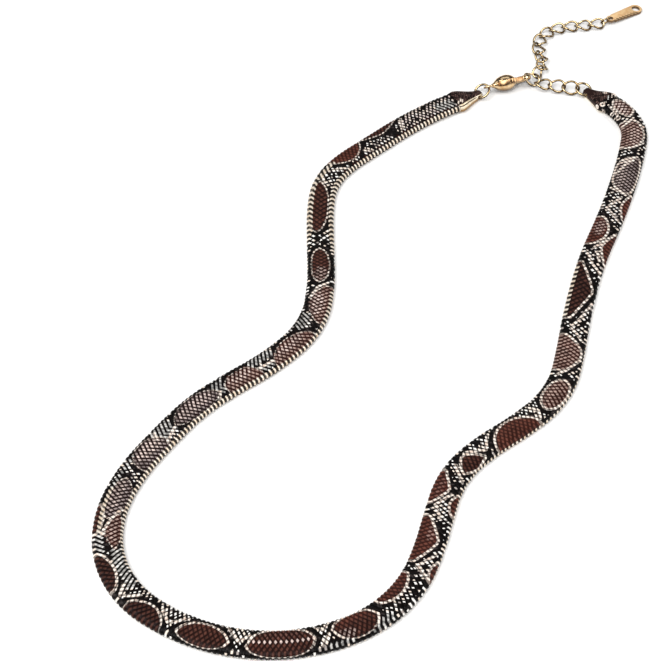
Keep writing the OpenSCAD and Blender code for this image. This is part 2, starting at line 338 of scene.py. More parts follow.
# The print: dark blotches on a dark and light ground of small slanted scales. A place on it is s along
# the band and t across, above zero on the right of the way from the left cap to the right one.
# Columns are the left tip's s and t, the right tip's, the two reaches across, the roundness and the tone.
# The tones are 0 maroon, 1 tan with a light net, 2 grey-brown with a light net, 3 dark brown, 4 darker.
BLOTCHES = [
    (15, 2.6, 25.5, 2.6, 0.8, 3.4, 1.6, 3), (26.2, 2.4, 35.4, 1.9, -1, 3.4, 1.8, 0),
    (41, 1.2, 56.6, 1, -1.7, 3, 2.2, 3), (61.4, 0.4, 71.3, 0.3, -1.8, 2.1, 2.4, 3),
    (72.5, -1, 82.5, -1.4, -3.4, 1.8, 1.7, 1), (85.2, -1.3, 95.9, -1.6, -3.4, 1.6, 1.9, 1),
    (99.3, -1.4, 107.7, -0.6, -3.4, 1.7, 2.2, 1), (109.2, -0.8, 121.5, -0.4, -2.6, 2.3, 2, 2),
    (125.2, -1.4, 134.2, -0.8, -3.4, 2.4, 2.2, 2), (137.3, 0, 147.5, 0.6, -3, 1.6, 2, 2),
    (145.5, -1.8, 155, -1.2, -3.2, 0.5, 1.4, 1), (155.2, 2, 163.4, 2, -0.1, 3.4, 1.8, 4),
    (166.8, 1.4, 174.5, 2.2, -0.8, 3.4, 1.9, 4), (177.2, 1.5, 187, 0.8, -1.9, 3, 2.1, 3),
    (190.2, 1.2, 202.8, 0, -2.8, 3.2, 2.4, 3), (206.2, -0.8, 215.5, 0, -2.8, 2.5, 2.2, 3),
    (217, -1.7, 226.4, -1.7, -3.4, -0.1, 1.7, 3), (229.4, -1.8, 240.8, -1.5, -3.4, 1.4, 1.2, 0),
    (243.8, -2.2, 251.6, -1.9, -3.4, 0.5, 1.3, 0), (252.6, 1.4, 259.3, 2, -1.3, 3, 1.5, 3),
    (262.4, 2.2, 273.6, 1.2, -2, 3.4, 1.9, 0), (276.6, 0.8, 285.2, 0.6, -2, 2.7, 2.3, 1),
    (287.4, -0.6, 297.6, -1.7, -3.4, 2.4, 1.6, 1), (302.2, -1.3, 318.9, -1.9, -3.4, 2.1, 1.2, 4),
    (324.4, -1.9, 333.3, -1.2, -3.4, 0.9, 1.8, 0), (341.9, 1.6, 354.3, 1.4, -2.7, 2.9, 2.4, 2),
    (356.8, -1, 366.3, 0.6, -3.4, 2.1, 1.9, 1), (367.6, 0.3, 373.6, 0.6, -1.3, 2.6, 2, 1),
    (144.5, 2.2, 151, 2.2, 1.1, 3.4, 1.6, 3), (226.5, 2.8, 231, 2.8, 1.8, 3.4, 1.6, 0),
    (241.5, 2.6, 247, 2.6, 1.4, 3.4, 1.6, 0), (319.5, 2.8, 329.5, 2.8, 0.9, 3.4, 1.3, 0),
    (334.2, 2.7, 342, 2.7, 1.4, 3.4, 1.5, 0)]

# Cream lines that run between the blotches. A row holds the s and t of a line's places in turn.
CREAM_LINES = [
    [13.8, 1.8, 15.8, -1.2], [25.6, -1.9, 27.2, -0.6], [33.8, -2.2, 36.6, 0.2], [39.2, 1.6, 41.2, 0.2],
    [71.6, -1.6, 72.6, 0.4, 76, 1.9], [96, -0.8, 99.6, -0.6], [110.4, -2.2, 109.2, -0.8],
    [122, -0.6, 125.8, -1.8], [126.6, 0.4, 125.6, 1.8], [144.8, -1.9, 148, -0.2, 151.2, 1.1],
    [163.2, 0, 164.8, 1.8], [164.8, 1.8, 167.4, -1], [172.6, -1.4, 175.2, 0.7, 178.4, -1.8],
    [186.4, -2.2, 188.6, 0.2, 190.8, -1.2], [203.4, -2, 204.6, -1.2, 205.6, -2.2],
    [203.6, 2, 205.4, -0.2], [226.6, 2.6, 228.6, -0.8, 232.2, 1.8], [240.4, 0.6, 243.4, -1.2, 246.8, 1.4],
    [250.4, 2.2, 253.6, -1], [256.8, -1.6, 260.4, 0.9, 263.4, -1.8],
    [274.4, -1.6, 275.2, 0.4, 274.2, 1.8], [285.8, -1.6, 288, 0.2, 291.2, 2.4],
    [296.4, 1.8, 299.8, -0.7, 303, 1, 307.4, 2.6], [316.4, 2.6, 318.6, 0.5, 322.2, -1.8],
    [323.4, -0.6, 326.2, 1, 329.2, 2.6], [319.8, 1.6, 322.6, 0.4], [333.4, 2, 336.4, -1.6],
    [337, -1.2, 340.6, 0.8], [342.9, -2.2, 341.6, 1.4], [347.6, -2.2, 351.4, -0.6, 353, 0.8],
    [351.4, -2, 354.2, 1.4], [356.4, -2.6, 357.2, 0, 359.4, 2.2], [364.6, -2.8, 366.8, 0.8],
    [366, 0.8, 364, 2.2], [369, -2.2, 373, -1.6]]

# Where the print ends at each edge: columns are the distance, the reach below t 0 and the reach above
PRINT_REACH = np.array([
    [-7.45, 1.6, 3.4], [-5.8, 1.9, 3.4], [-0.5, 2.3, 3.5], [0, 2.3, 3.7], [36, 2.35, 3.7], [39, 1.9, 2.6],
    [42, 1.85, 1.7], [56, 1.9, 1.7], [58, 2, 2.3], [61, 2.2, 3.6], [63, 3.6, 3.7], [72, 3.6, 3.7],
    [74, 2.3, 3.7], [82, 2.35, 3.7], [84, 2.6, 3.7], [96, 2.55, 3.7], [98, 2.35, 3.7], [134, 2.45, 3.7],
    [160, 2.6, 3.7], [164, 3.7, 3.7], [226, 3.7, 3.7], [232, 3.7, 3], [296, 3.7, 3], [301.5, 3.7, 3.5],
    [303, 2.15, 3.6], [317.5, 2.15, 3.6], [319, 3.7, 3.6], [383, 4.4, 4.4]])

# Rows of bare beads inside the print: columns are the start, the end, the side and the reach from and to
BEAD_ROWS = [(140.5, 151, 1, 1.25, 1.95), (34.6, 40.5, 1, 1.2, 2.2)]

# Ladders of light strokes on black: columns are the start, the end, the reach from and to, and the share
LADDERS = [
    (154.6, 165, -2.6, -0.25, 1), (150.2, 156.2, 0.7, 2.6, 0.9), (94.5, 100.5, 0.3, 2.2, 0.85),
    (95.5, 99.5, -2, -0.4, 0.75), (121.6, 126.5, -1, 2.2, 0.85), (124.5, 134, 1.2, 1.9, 0.9),
    (133.5, 141, 1.1, 2, 0.9), (107.2, 110, -1.6, 2, 0.7), (81, 86, 0.4, 2.2, 0.7),
    (0.6, 5.2, -1.9, 0.9, 0.85), (212.5, 217.5, 1.2, 2.8, 0.85), (204.8, 209.5, 1.9, 3, 0.8)]

# Light rings on the black near the right cap: columns are the distance, the place across and the radius
EYES = [
    (376.6, 1.6, 0.36), (374.8, 2.7, 0.32), (374.7, -2.3, 0.44), (373.6, -3.6, 0.36), (375.6, -3.6, 0.36),
    (370.6, -2.9, 0.4), (368.3, -2.4, 0.52)]

# Parts of the blotches whose ribs are lit: the middle, the reach along and across, and the strength
LIT_PARTS = [
    (196.5, -1.4, 5.6, 0.9, 0.55), (208.2, 1.1, 2.4, 1.1, 0.9), (280.6, -0.4, 2.6, 1.2, 0.55),
    (103.6, 0.2, 3.2, 1.3, 0.9), (90.5, -0.2, 4.4, 1, 0.9), (292.5, -0.2, 3, 0.7, 0.5),
    (346.5, -0.8, 4.2, 1.2, 0.7), (361, 0.3, 3.4, 1.5, 0.8), (237, -0.4, 2.6, 0.9, 0.7),
    (69.2, 0, 2.6, 1.6, 0.85), (77.5, 0, 3.4, 1.4, 1), (115.5, 0.1, 5.2, 1.5, 0.9),
    (129, 0.2, 4, 1.4, 1), (142, 0.2, 4.4, 1.2, 0.9), (151, -0.9, 3, 0.7, 0.7),
    (19.5, 1.4, 4, 0.8, 0.5), (330, -1.2, 2.6, 1.4, 0.9), (184, 0.2, 2.4, 0.9, 0.5),
    (371.5, 0, 3.2, 1.6, 1), (247.5, -1.4, 2.6, 0.8, 0.6)]

# Patches of plain ground: the middle, the reach along and across, and the share of light scales
PATCHES = [
    (4.6, -0.3, 1.3, 1.1, 0.85), (10, 0.2, 5.4, 2, 0.9), (18, -0.8, 1.8, 0.9, 0.1),
    (22, -1, 2.2, 0.9, 0.8), (30.5, -2, 2, 0.8, 0.9), (39.5, -0.6, 3.4, 1.1, 0.72),
    (38.5, 1.4, 1.6, 0.9, 0.55), (58.5, -0.6, 1.1, 0.5, 0.75), (58.8, -2.3, 2.6, 0.8, 0.8),
    (82, 0.7, 2, 1.3, 0.75), (97.8, -0.5, 1.7, 1.1, 0.55), (98.5, 1.6, 2.2, 0.8, 0.8),
    (123.2, -1.6, 1.4, 0.8, 0.8), (136.2, -1.6, 1.2, 0.8, 0.85), (135.5, 1.4, 2.6, 0.8, 0.7),
    (152.3, 1.7, 1.3, 1.1, 0.95), (157.8, -1.5, 3.8, 1.4, 0.62), (165, -0.5, 2, 1.2, 0.88),
    (175.3, -1.4, 2.4, 1.3, 0.82), (188.5, -1.5, 2.3, 1.2, 0.8), (204.4, -1.4, 0.9, 0.6, 0.75),
    (204.8, 1.3, 1.4, 1.4, 0.6), (221, 0.8, 4, 1, 0.72), (228.3, 0.3, 2.6, 1.5, 0.6),
    (231, 1.8, 2.4, 0.8, 0.75), (242.2, 0, 2.6, 1.5, 0.7), (260.3, -1.2, 2.6, 1.2, 0.82),
    (273.5, -1.7, 2.4, 0.8, 0.8), (275, 0.7, 1.2, 1.3, 0.35), (287, 0.4, 1, 1.2, 0.5),
    (299.2, 1, 3, 1.4, 0.6), (321.5, 0.3, 3.4, 0.9, 0.6), (335.5, 0.8, 1.6, 1.8, 0.7),
    (338.8, -0.2, 2.6, 1.2, 0.72), (355.6, 0.2, 0.9, 1.5, 0.45), (367, -1.2, 1, 0.8, 0.8)]

BLACK = tone(10, 7, 6)
CHARCOAL = tone(50, 44, 43)
CREAM = tone(242, 226, 210)
WHITE = tone(250, 246, 240)
SILVER = tone(168, 158, 152)
# Columns are a blotch's colour, the colour of its lit ribs and how much they show.
TONES = [
    (tone(80, 41, 32), tone(148, 98, 82), 0.7), (tone(74, 39, 31), tone(222, 192, 178), 1),
    (tone(50, 34, 31), tone(212, 194, 190), 1), (tone(56, 29, 23), tone(128, 82, 68), 0.7),
    (tone(43, 22, 18), tone(98, 60, 50), 0.5)]
SCALE_WIDE = 1.54
GROUND_SHARE = 0.55
LINE_GAP = 1.1
OVER_EDGE = 3.3
PAST_EDGE = 4.2
FAR = 1e9


def blotch_outline(row):
    """The corners of one blotch: a curved lens between two tips, that may run over the band's edges."""
    s0, t0, s1, t1, low, high, roundness, _ = row
    u = np.linspace(0, 1, 17)
    line = t0 + (t1 - t0) * u
    swell = (1 - np.abs(2 * u - 1) ** roundness) ** (1 / max(1, roundness * 0.75))
    upper = line + (low - line) * swell if low > -OVER_EDGE else 0 * line - PAST_EDGE
    lower = line + (high - line) * swell if high < OVER_EDGE else 0 * line + PAST_EDGE
    s = s0 + (s1 - s0) * u
    return np.r_[[[s0, t0]], np.c_[s, upper], [[s1, t1]], np.c_[s, lower][::-1]]


def segment_distance(a, b, spots):
    along = b - a
    u = np.clip(((spots - a) @ along) / max(1e-9, along @ along), 0, 1)
    return np.linalg.norm(spots - a - u[:, None] * along, axis=1)


def outline_distance(corners, s, t):
    """The distance to a closed outline, below zero inside it."""
    spots = np.stack([s, t], -1)
    near = np.full(len(s), FAR)
    inside = np.zeros(len(s), bool)
    for a, b in zip(corners, np.roll(corners, -1, axis=0)):
        near = np.minimum(near, segment_distance(a, b, spots))
        if abs(b[1] - a[1]) > 1e-9:
            crosses = (a[1] > t) != (b[1] > t)
            inside ^= crosses & (s < a[0] + (t - a[1]) * (b[0] - a[0]) / (b[1] - a[1]))
    return np.where(inside, -near, near)


def line_distance(corners, s, t):
    spots, corners = np.stack([s, t], -1), np.reshape(corners, (-1, 2))
    return np.min([segment_distance(a, b, spots) for a, b in zip(corners, corners[1:])], axis=0)


def chance(p, q, seed):
    """A steady random share for each scale, by its two numbers."""
    v = np.sin(p * 12.9898 + q * 78.233 + seed * 37.719) * 43758.5453
    return v - np.floor(v)


def rim_fade(row, t):
    """What is added to the distance from a blotch's rim to make it fainter."""
    start, end, number = row[0], row[2], row[7]
    if 165 < start < 217:
        return 0.04 + 0.12 * ease((t - 1.6) / 0.6)
    if number in (1, 2) and start < 165:
        return 0.15
    return 0.09 if start < 24 or end < 72 else 0.0


def rim_distance(s, t):
    near = np.full(len(s), 2.0)
    for row in BLOTCHES:
        at = (s > row[0] - 2) & (s < row[2] + 2)
        rim = np.abs(outline_distance(blotch_outline(row), s[at], t[at])) + rim_fade(row, t[at])
        near[at] = np.minimum(near[at], rim)
    for corners in CREAM_LINES:
        at = (s > corners[0] - 12) & (s < corners[-2] + 12)
        near[at] = np.minimum(near[at], line_distance(corners, s[at], t[at]) - 0.04)
    near = np.where((s < 0) | (s > STRAP_LEN), 2.0, near)
    for cs, ct, radius in EYES:
        near = np.minimum(near, np.abs(np.hypot(s - cs, t - ct) - radius) + 0.08)
    return near


class Scales:
    """Each scale's colour, its lit rib's colour, how much of that shows and how far it has no net."""

    def __init__(self, s, t, p, q):
        self.s, self.t = s, t
        self.draw, self.shade, self.odd = (chance(p, q, seed) for seed in (1, 2, 3))
        self.patch = chance(np.floor(p / 4), np.floor(q / 4), 5)
        self.body = np.tile(BLACK, (len(s), 1))
        self.body[self.draw < 0.12] = CHARCOAL
        self.lit = self.body.copy()
        self.net = np.zeros(len(s))
        self.whole = np.zeros(len(s))


def nearest_blotch(s, t):
    """The distance to the nearest blotch, below zero inside it, and its tone."""
    edge = np.full(len(s), FAR)
    number = np.zeros(len(s), int)
    for row in BLOTCHES:
        distance = outline_distance(blotch_outline(row), s, t)
        number = np.where(distance < edge, row[7], number)
        edge = np.minimum(edge, distance)
    return edge, number


def paint_ground(k, edge):
    """Light scales on the dark ground, mostly in lines that follow the blotches."""
    light = np.full(len(edge), GROUND_SHARE)
    for cs, ct, rs, rt, share in PATCHES:
        light[((k.s - cs) / rs) ** 2 + ((k.t - ct) / rt) ** 2 < 1] = share
    ground = (edge > LINE_GAP) | ((light != GROUND_SHARE) & (edge > 0.3))
    in_line = np.mod((edge - LINE_GAP) / LINE_GAP, 1) < 0.52
    is_light = ground & (k.draw < np.where(in_line, np.minimum(1, light * 1.35), light * light * 0.75))
    k.lit[is_light] = WHITE
    k.lit[is_light & (k.shade < 0.35)] = CREAM
    k.lit[is_light & (k.shade > 0.85)] = SILVER
    k.lit[is_light & (k.s < 15) & (k.shade > 0.4)] = tone(206, 190, 184)
    k.net[is_light] = 1


def paint_blotches(k, edge, number):
    inner = edge <= 0
    strength = np.where((number == 1) | (number == 2), 0.5, 0.25)
    for cs, ct, rs, rt, share in LIT_PARTS:
        away = ((k.s - cs) / rs) ** 2 + ((k.t - ct) / rt) ** 2
        strength = np.maximum(strength, share * np.clip(1.7 - away, 0, 1))
    for row, (base, light_rib, share) in enumerate(TONES):
        mine = inner & (number == row)
        k.body[mine] = base
        k.lit[mine] = light_rib
        k.whole[mine] = 0.1
        k.net[mine] = share * np.clip(0.25 + 0.7 * k.shade[mine] + 0.35 * k.patch[mine], 0, 1)
        k.net[mine] *= 0.4 + 0.6 * ease((-edge[mine] - 0.2) / 0.6)
    plain = inner & (strength < 0.3)
    k.body[plain & (k.t < -1) & (k.s > 72) & (k.s < 300)] = TONES[0][0]
    k.lit[plain] = TONES[0][1]
    much = np.clip((strength - 0.5) / 0.5, 0, 1)[:, None]
    k.lit = np.where(inner[:, None], k.lit * (1 - much) + np.array(tone(236, 214, 204)) * much, k.lit)
    k.net[inner] *= 0.15 + 0.85 * strength[inner]
    k.body[inner] *= (0.55 + 0.5 * k.odd + 0.4 * k.patch)[inner, None]
    # One saddle has a row of painted highlights on its ribs along its middle.
    rib_highlight_dots = inner & (np.abs(k.t + 0.1) < 0.45) & (k.s > 190.5) & (k.s < 202.5)
    k.lit[rib_highlight_dots] = tone(232, 208, 198)
    k.net[rib_highlight_dots] = 0.6 + 0.4 * k.shade[rib_highlight_dots]


def paint_edge_shadows_and_ladders(k, edge):
    outer = edge > 0
    last = k.s > 364
    # Painted shadow: a dark band along the band's lower edge near both caps, with a few cream flecks near
    # the right cap.
    edge_shadow = (k.t < -1.75) & (((k.s > -0.3) & (k.s < 36)) | last) & outer
    k.body[edge_shadow] = tone(60, 28, 22)
    k.body[edge_shadow & ((k.draw < 0.5) | last)] = BLACK
    k.net[edge_shadow] = 0
    flecks = edge_shadow & last & (k.odd < 0.15)
    k.lit[flecks] = CREAM
    k.net[flecks] = 0.7
    for start, end, low, high, share in LADDERS:
        rung = (k.s > start) & (k.s < end) & (k.t > low) & (k.t < high) & outer
        k.body[rung] = BLACK
        k.lit[rung] = WHITE
        k.whole[rung] = 0.55
        k.net[rung] = share * np.clip(0.2 + 0.8 * k.draw[rung], 0, 0.85)


def paint_caps(k):
    left, right = k.s < -0.3, k.s > STRAP_LEN + 1.2
    cap = left | right
    k.body[cap] = tone(34, 21, 19)
    k.lit[cap] = tone(138, 108, 100)
    k.net[cap] = 0.5 * (k.shade[cap] > 0.35)
    k.body[cap & (k.draw < 0.4)] = BLACK
    mouth = left & (k.s > -1.6) & (k.t < -0.4) & (k.draw < 0.6)
    pale = (right & (k.draw > 0.93) & (k.s < STRAP_LEN + 3.6)) | (left & (k.draw > 0.96))
    k.body[mouth] = CREAM
    k.body[pale] = tone(140, 112, 104)
    k.lit[mouth | pale] = k.body[mouth | pale]
    k.net[mouth | pale] = 0
    nose = k.s > STRAP_LEN + 4.8
    k.body[nose] = tone(34, 16, 13)
    k.net[nose] = 0.1


def painted_scales(s, t, p, q):
    scales = Scales(s, t, p, q)
    edge, number = nearest_blotch(s, t)
    paint_ground(scales, edge)
    paint_blotches(scales, edge, number)
    paint_edge_shadows_and_ladders(scales, edge)
    paint_caps(scales)
    return scales


def print_reach(s, t):
    places, below, above = PRINT_REACH.T
    return np.where(t < 0, np.interp(s, places, below), np.interp(s, places, above))


# Across the band the bare edge gives way to painted shadow, drawn with the print's colours, and that to the
# bare underside.
SIDE_SHADOW = 3.55
UNDERSIDE = 4.3


def past_print(s, t):
    """How far a place lies past the print's end, below zero on the print and on the painted shadow down the
    band's sides.
    """
    size = np.abs(t)
    past = size - print_reach(s, t)
    on_band = (s > 0) & (s < STRAP_LEN)
    # Down the band's side, below the bare edge, the print's colours come back as painted shadow.
    sides = np.where(size < UNDERSIDE, np.minimum(past, SIDE_SHADOW - size), size - UNDERSIDE)
    past = np.where(on_band, sides, past)
    for start, end, side, low, high in BEAD_ROWS:
        within = np.minimum(np.minimum(size - low, high - size), np.minimum(s - start, end - s) * 0.6)
        past = np.where(t * side > 0, np.maximum(past, within), past)
    return past


# The ribs lie a little further apart on the steep runs. Columns are the distance and the spacing.
RIB_PITCH = np.array([
    [0, 1], [33, 1], [40, 1.4], [57, 1.4], [63, 1], [297, 1], [302, 1.38], [318, 1.38], [323, 1], [374, 1]])
PITCH_STEP = 0.1
pitch_s = np.arange(0, STRAP_LEN + PITCH_STEP / 2, PITCH_STEP)
pitch_u = np.r_[0, np.cumsum(
    PITCH_STEP / np.interp(pitch_s[:-1] + PITCH_STEP / 2, RIB_PITCH[:, 0], RIB_PITCH[:, 1]))]
RIBS = round(float(pitch_u[-1]))
pitch_u *= RIBS / pitch_u[-1]


def to_ribs(s):
    """Distances along the band counted in ribs."""
    return np.interp(s, pitch_s, pitch_u) + np.minimum(s, 0) + np.maximum(s - STRAP_LEN, 0)


def from_ribs(u):
    return np.interp(u, pitch_u, pitch_s) + np.minimum(u, 0) + np.maximum(u - RIBS, 0)


# A swept band has rows of points round its section. On top they meet the scales' corners.
STEP_S = 0.25
STEP_T = SCALE_WIDE / 4
TOP_ROWS = 6
TOP_REACH = TOP_ROWS * STEP_T
SIDE_STEPS = 12
SIDE_STEP = 0.2
SIDE_CELL = 0.6
UNDER_STEPS = 8
WALK_STEPS = 960
SUNK = 0.08


def rib_reach(t):
    """How far a rib's line runs back from the middle: slanted on top, straight on the sides."""
    return np.minimum(np.abs(t), TOP_REACH) / SCALE_WIDE


def section_walk(width, thick):
    """Places across and up by the distance from the top's middle. The underside is cut flat."""
    a = np.radians(90 - 360 * np.arange(WALK_STEPS + 1) / WALK_STEPS)
    c, d = np.cos(a), np.sin(a)
    x = width / 2 * np.sign(c) * np.abs(c) ** 0.55
    z = np.maximum(0, (thick + SUNK) / 2 * (1 + np.sign(d) * np.abs(d) ** 0.75) - SUNK)
    run = np.r_[0, np.cumsum(np.hypot(np.diff(x), np.diff(z)))]
    return x, z, run


def ring_rows(total):
    """Distances round the outline, from the top's middle round and back, in mesh rows."""
    top = np.arange(0, TOP_ROWS + 1) * STEP_T
    side = TOP_REACH + np.arange(1, SIDE_STEPS + 1) * SIDE_STEP
    under = np.linspace(side[-1], total - side[-1], UNDER_STEPS + 1)[1:-1]
    right = np.r_[top, side]
    return np.r_[right, under, total - right[::-1][:-1]]


def section_points(width, thick, shares):
    """A section's places and outward directions at shares of its outline."""
    x, z, run = section_walk(width, thick)
    at = shares * run[-1]
    ax = np.interp(at + 0.02, run, x) - np.interp(at - 0.02, run, x)
    az = np.interp(at + 0.02, run, z) - np.interp(at - 0.02, run, z)
    size = np.maximum(1e-9, np.hypot(ax, az))
    nx, nz = -az / size, ax / size
    # Nothing lies before the first point, so its direction is given.
    nx[0], nz[0] = 0, 1
    return np.interp(at, run, x), np.interp(at, run, z), nx, nz


def swept_faces(n, m, first):
    """Faces over n sections of m points. Quads on a scale's border are split, so each lies in one scale."""
    faces = []
    for i in range(n - 1):
        for k in range(m):
            after = (k + 1) % m
            a, b, c, d = i * m + k, i * m + after, (i + 1) * m + after, (i + 1) * m + k
            j = k if k <= m // 2 else k - m
            on_top = abs(j) <= TOP_ROWS and abs(j + 1) <= TOP_ROWS
            if on_top and (first + i - j) % (4 if j < 0 else 2) == 0:
                faces += [(a, b, c), (a, c, d)]
            elif on_top and (first + i + j + 1) % (2 if j < 0 else 4) == 0:
                faces += [(a, b, d), (b, c, d)]
            else:
                faces.append((a, b, c, d))
    faces.append(tuple(range(m - 1, -1, -1)))
    faces.append(tuple(range((n - 1) * m, n * m)))
    return faces


def whole_numbers(items, label):
    values = np.zeros(len(items), int)
    items.foreach_get(label, values)
    return values


def scale_cells(mid_s, mid_t):
    """Each face's scale: its middle, in ribs along and millimetres across, and two numbers."""
    back = rib_reach(mid_t)
    p = np.floor(mid_s + back)
    q = np.floor(2 * (mid_s - back))
    fore, aft = p + 0.5, (q + 0.5) / 2
    on_side = np.abs(mid_t) > TOP_REACH
    row = np.floor((np.abs(mid_t) - TOP_REACH) / SIDE_CELL)
    cell_u = np.where(on_side, fore - TOP_REACH / SCALE_WIDE, (fore + aft) / 2)
    cell_t = np.where(on_side, TOP_REACH + (row + 0.5) * SIDE_CELL, (fore - aft) / 2 * SCALE_WIDE)
    # The sides' numbers start where no number of the top reaches.
    q = np.where(on_side, 4000 + row, q) + 9000 * (mid_t < 0)
    return cell_u, cell_t * np.where(mid_t < 0, -1, 1), p, q


def paint_mesh(mesh, along, across, total):
    """Puts flat coordinates, colours and distances on a mesh. total is the outline's length."""
    flat_s = np.repeat(along, len(across))
    flat_t = np.tile(across, len(along))
    corners = whole_numbers(mesh.loops, "vertex_index")
    starts = whole_numbers(mesh.polygons, "loop_start")
    counts = whole_numbers(mesh.polygons, "loop_total")
    owner = np.repeat(np.arange(len(counts)), counts)
    cs, ct = flat_s[corners], flat_t[corners]
    # Under the band the two ends of the row count meet, so one corner takes the other's side.
    wraps = (np.maximum.reduceat(ct, starts)[owner] > 2) & (ct < -2)
    ct = np.where(wraps, ct + total, ct)
    mid_s, mid_t = (np.add.reduceat(c, starts) / counts for c in (cs, ct))
    cell_u, cell_t, p, q = scale_cells(mid_s, mid_t)
    scales = painted_scales(from_ribs(cell_u), cell_t, p, q)
    # The two end faces come last and are black.
    scales.body[-2:] = BLACK
    scales.net[-2:] = 0
    beyond = np.where(owner >= len(counts) - 2, -1.0, past_print(from_ribs(cs), ct))
    uv = mesh.uv_layers.new(name="flat")
    uv.data.foreach_set("uv", np.stack([cs, ct], -1).astype(np.float32).ravel())
    for label, colours, share in (
            ("scale_body", scales.body, scales.net), ("scale_lit", scales.lit, scales.whole)):
        layer = mesh.color_attributes.new(label, "FLOAT_COLOR", "CORNER")
        layer.data.foreach_set("color", np.c_[colours, share][owner].astype(np.float32).ravel())
    near = rim_distance(from_ribs(flat_s), flat_t)
    for label, domain, values in (("rim_near", "POINT", near), ("past_print", "CORNER", beyond)):
        mesh.attributes.new(label, "FLOAT", domain).data.foreach_set("value", values.astype(np.float32))


def sweep(name, s, widths, thicks, lifts, relief, material):
    """A closed band through sections at the distances s, with the print's colours on it."""
    spots, turns = on_line(s)
    along = to_ribs(s)
    widest = int(np.argmax(widths))
    total = section_walk(widths[widest], thicks[widest])[2][-1]
    rows = ring_rows(total)
    m = len(rows)
    across = np.where(np.arange(m) <= m // 2, rows, rows - total)
    points = np.zeros((len(s), m, 3))
    sections = {}
    for i in range(len(s)):
        size = (round(float(widths[i]), 4), round(float(thicks[i]), 4))
        if size not in sections:
            sections[size] = section_points(*size, rows / total)
        x, z, nx, nz = sections[size]
        drop = relief(along[i], across)
        points[i, :, :2] = spots[i] + (x - drop * nx)[:, None] * ahead(turns[i] - 90)
        points[i, :, 2] = np.maximum(z - drop * nz, 0) + lifts[i]
    faces = swept_faces(len(s), m, round(float(along[0]) / STEP_S))
    made = make_object(name, points.reshape(-1, 3), faces, material)
    paint_mesh(made.data, along, across, total)
    return made


def rib_relief(s, t):
    """The grooves between the ribs, deeper towards the band's edges and faint underneath."""
    f = s + rib_reach(t)
    d = np.abs(f - np.round(f))
    depth = 0.035 + 0.05 * ease((np.abs(t) - 1.6) / 0.9) + 0.17 * ease((np.abs(t) - 2.4) / 0.7)
    depth = depth * (1 - 0.7 * ease((np.abs(t) - 4.2) / 0.5))
    return depth * np.exp(-(d / 0.2) ** 2)


def print_material(name, ribbed):
    """Printed scales on top and bare gold at the edges, with painted shade in the grooves between ribs on
    the band.
    """
    g = Graph(name)
    # The slanted lines between ribs, and the lines of the net that cross them
    s, t = g.parts(g.node("ShaderNodeUVMap", uv_map="flat").outputs[0])[:2]
    size = g.math("ABSOLUTE", t)
    back = g.math("DIVIDE", g.math("MINIMUM", size, TOP_REACH), SCALE_WIDE)
    dense = 1 if ribbed else 2
    rib = g.math("PINGPONG", g.times(g.plus(s, back), dense), 0.5)
    cross = g.math("PINGPONG", g.times(g.math("SUBTRACT", s, back), dense), 0.5)
    at = g.coordinates("Object")
    fine = g.noise(at, 6000, 3)
    blot = g.noise(at, 1500, 3)
    line = g.span(g.plus(cross, g.times(fine, 0.06)), 0.15, 0.27, 1, 0)
    line = g.times(line, g.span(size, 2.1, 2.3, 1, 0))
    # The ink: each scale's colour, its lit rib and the light rims
    scale = g.attribute("scale_body")
    body, net = scale["Color"], scale["Alpha"]
    scale = g.attribute("scale_lit")
    lit, whole = scale["Color"], scale["Alpha"]
    gap = g.times(line, g.math("SUBTRACT", 1, whole))
    ink = g.mix(g.times(gap, 0.7), body, tone(20, 13, 12))
    stroke = g.times(g.span(rib, 0.2, 0.3), g.math("SUBTRACT", 1, gap))
    ink = g.mix(g.times(stroke, net), ink, lit)
    ink = g.mix(g.span(blot, 0.3, 0.75, 0, 0.2), ink, tone(30, 20, 18))
    rim = g.plus(g.attribute("rim_near")["Fac"], g.times(fine, 0.16))
    rim = g.span(rim, 0.28, 0.42, 1, 0)
    rim = g.times(rim, g.span(gap, 0, 1, 1, 0.24))
    ink = g.mix(rim, ink, g.mix(g.span(blot, 0.4, 0.7), tone(250, 238, 226), tone(216, 190, 172)))
    # The bare metal past the print, and the painted shade in the grooves
    past = g.attribute("past_print")["Fac"]
    if ribbed:
        bare = g.mix(g.span(blot, 0.35, 0.7), tone(250, 239, 224), tone(226, 202, 174))
        wide = g.span(size, 0.3, 2.8, 0.24, 0.36)
        groove = g.span(g.math("DIVIDE", rib, wide), 0.6, 1.1, 1, 0)
        beyond = g.span(g.plus(past, g.times(rib, 0.3)), 0.02, 0.14)
    else:
        bare = g.mix(g.span(blot, 0.35, 0.7), tone(250, 238, 214), tone(226, 204, 168))
        # Painted shade on the caps' wall: a dark line in its groove, and darker gold further down towards
        # the underside.
        painted_wall_groove_shade = g.span(g.math("ABSOLUTE", g.math("SUBTRACT", past, 0.52)), 0.08, 0.2, 1, 0)
        bare = g.mix(painted_wall_groove_shade, bare, tone(48, 32, 22))
        bare = g.mix(g.span(past, 1.15, 1.5), bare, tone(150, 118, 78))
        groove = g.times(g.span(rib, 0.1, 0.2, 1, 0), g.span(past, -0.3, 0, 0.5, 0))
        beyond = g.span(g.plus(past, g.times(fine, 0.1)), 0, 0.1)
    # Painted shade in the grooves: the print darkened to a third, and black on the bare metal.
    deep = g.mix(beyond, g.mix(1, body, (0.34, 0.34, 0.34), "MULTIPLY"), BLACK)
    painted_groove_shade = g.times(groove, g.span(size, 0.3, 2.4, 0.86, 0.97))
    painted_groove_shade = g.times(painted_groove_shade, g.span(rim, 0, 1, 1, 0.76))
    height = g.plus(g.times(line, -0.35), g.times(groove, -0.9))
    height = g.plus(height, g.times(fine, 0.2))
    g.set(Base_Color=g.mix(painted_groove_shade, g.mix(beyond, ink, bare), deep))
    g.set(Metallic=g.times(beyond, 0.45), Specular_IOR_Level=0.08)
    g.set(Roughness=g.plus(g.times(fine, 0.18), 0.26))
    g.set(Normal=g.bump(height, 0.00006, 0.8))
    return g.material


